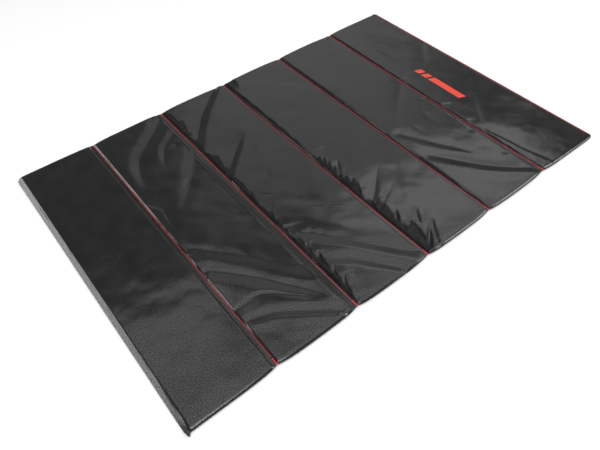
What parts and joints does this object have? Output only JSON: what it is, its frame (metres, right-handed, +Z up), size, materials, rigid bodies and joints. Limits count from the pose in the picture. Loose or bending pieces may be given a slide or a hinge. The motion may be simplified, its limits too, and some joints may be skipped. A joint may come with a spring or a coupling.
{
  "type": "folding exercise mat",
  "caption": "Thin padded exercise mat in a black coated-cloth cover, folding like a concertina at sewn seams with red stitching.",
  "frame": {"origin": "centre of the open mat's underside, on the surface that it lies on", "axes": "+X along the open mat's length towards the end that is stitched shut and carries the printed mark, +Y across its width, +Z up through its thickness"},
  "size_m": [0.9, 0.6, 0.0101],
  "materials": {
    "cover_cloth": "satin",
    "foam": "matte",
    "thread": "satin",
    "print": "matte"
  },
  "bodies": {
    "panel_1": {"cover_top_1": "cover_cloth", "cover_bottom_1": "cover_cloth", "foam_core_1": "foam", "corner_ear": "cover_cloth"},
    "web_1": {"web_top_1": "cover_cloth", "web_bottom_1": "cover_cloth", "seam_thread_top_1": "thread", "seam_thread_bottom_1": "thread", "back_tack_near_1": "thread", "back_tack_far_1": "thread"},
    "panel_2": {"cover_top_2": "cover_cloth", "cover_bottom_2": "cover_cloth", "foam_core_2": "foam"},
    "web_2": {"web_top_2": "cover_cloth", "web_bottom_2": "cover_cloth", "seam_thread_top_2": "thread", "seam_thread_bottom_2": "thread", "back_tack_near_2": "thread", "back_tack_far_2": "thread"},
    "panel_3": {"cover_top_3": "cover_cloth", "cover_bottom_3": "cover_cloth", "foam_core_3": "foam"},
    "web_3": {"web_top_3": "cover_cloth", "web_bottom_3": "cover_cloth", "seam_thread_top_3": "thread", "seam_thread_bottom_3": "thread", "back_tack_near_3": "thread", "back_tack_far_3": "thread"},
    "panel_4": {"cover_top_4": "cover_cloth", "cover_bottom_4": "cover_cloth", "foam_core_4": "foam"},
    "web_4": {"web_top_4": "cover_cloth", "web_bottom_4": "cover_cloth", "seam_thread_top_4": "thread", "seam_thread_bottom_4": "thread", "back_tack_near_4": "thread", "back_tack_far_4": "thread"},
    "panel_5": {"cover_top_5": "cover_cloth", "cover_bottom_5": "cover_cloth", "foam_core_5": "foam"},
    "web_5": {"web_top_5": "cover_cloth", "web_bottom_5": "cover_cloth", "seam_thread_top_5": "thread", "seam_thread_bottom_5": "thread", "back_tack_near_5": "thread", "back_tack_far_5": "thread"},
    "panel_6": {"cover_top_6": "cover_cloth", "cover_bottom_6": "cover_cloth", "foam_core_6": "foam", "end_thread_top": "thread", "end_thread_bottom": "thread", "mark_bar_1": "print", "mark_bar_2": "print", "mark_bar_3": "print"}
  },
  "joints": [
    {"name": "fold_1_left", "type": "hinge", "parent": "panel_1", "child": "web_1", "pos_m": [-0.3055, 0, 0.005], "axis": [0, -1, 0], "range_deg": [0, 90]},
    {"name": "fold_1_right", "type": "hinge", "parent": "web_1", "child": "panel_2", "pos_m": [-0.2945, 0, 0.005], "axis": [0, -1, 0], "range_deg": [0, 90]},
    {"name": "fold_2_left", "type": "hinge", "parent": "panel_2", "child": "web_2", "pos_m": [-0.1555, 0, 0.005], "axis": [0, 1, 0], "range_deg": [0, 90]},
    {"name": "fold_2_right", "type": "hinge", "parent": "web_2", "child": "panel_3", "pos_m": [-0.1445, 0, 0.005], "axis": [0, 1, 0], "range_deg": [0, 90]},
    {"name": "fold_3_left", "type": "hinge", "parent": "panel_3", "child": "web_3", "pos_m": [-0.0055, 0, 0.005], "axis": [0, -1, 0], "range_deg": [0, 90]},
    {"name": "fold_3_right", "type": "hinge", "parent": "web_3", "child": "panel_4", "pos_m": [0.0055, 0, 0.005], "axis": [0, -1, 0], "range_deg": [0, 90]},
    {"name": "fold_4_left", "type": "hinge", "parent": "panel_4", "child": "web_4", "pos_m": [0.1445, 0, 0.005], "axis": [0, 1, 0], "range_deg": [0, 90]},
    {"name": "fold_4_right", "type": "hinge", "parent": "web_4", "child": "panel_5", "pos_m": [0.1555, 0, 0.005], "axis": [0, 1, 0], "range_deg": [0, 90]},
    {"name": "fold_5_left", "type": "hinge", "parent": "panel_5", "child": "web_5", "pos_m": [0.2945, 0, 0.005], "axis": [0, -1, 0], "range_deg": [0, 90]},
    {"name": "fold_5_right", "type": "hinge", "parent": "web_5", "child": "panel_6", "pos_m": [0.3055, 0, 0.005], "axis": [0, -1, 0], "range_deg": [0, 90]}
  ]
}
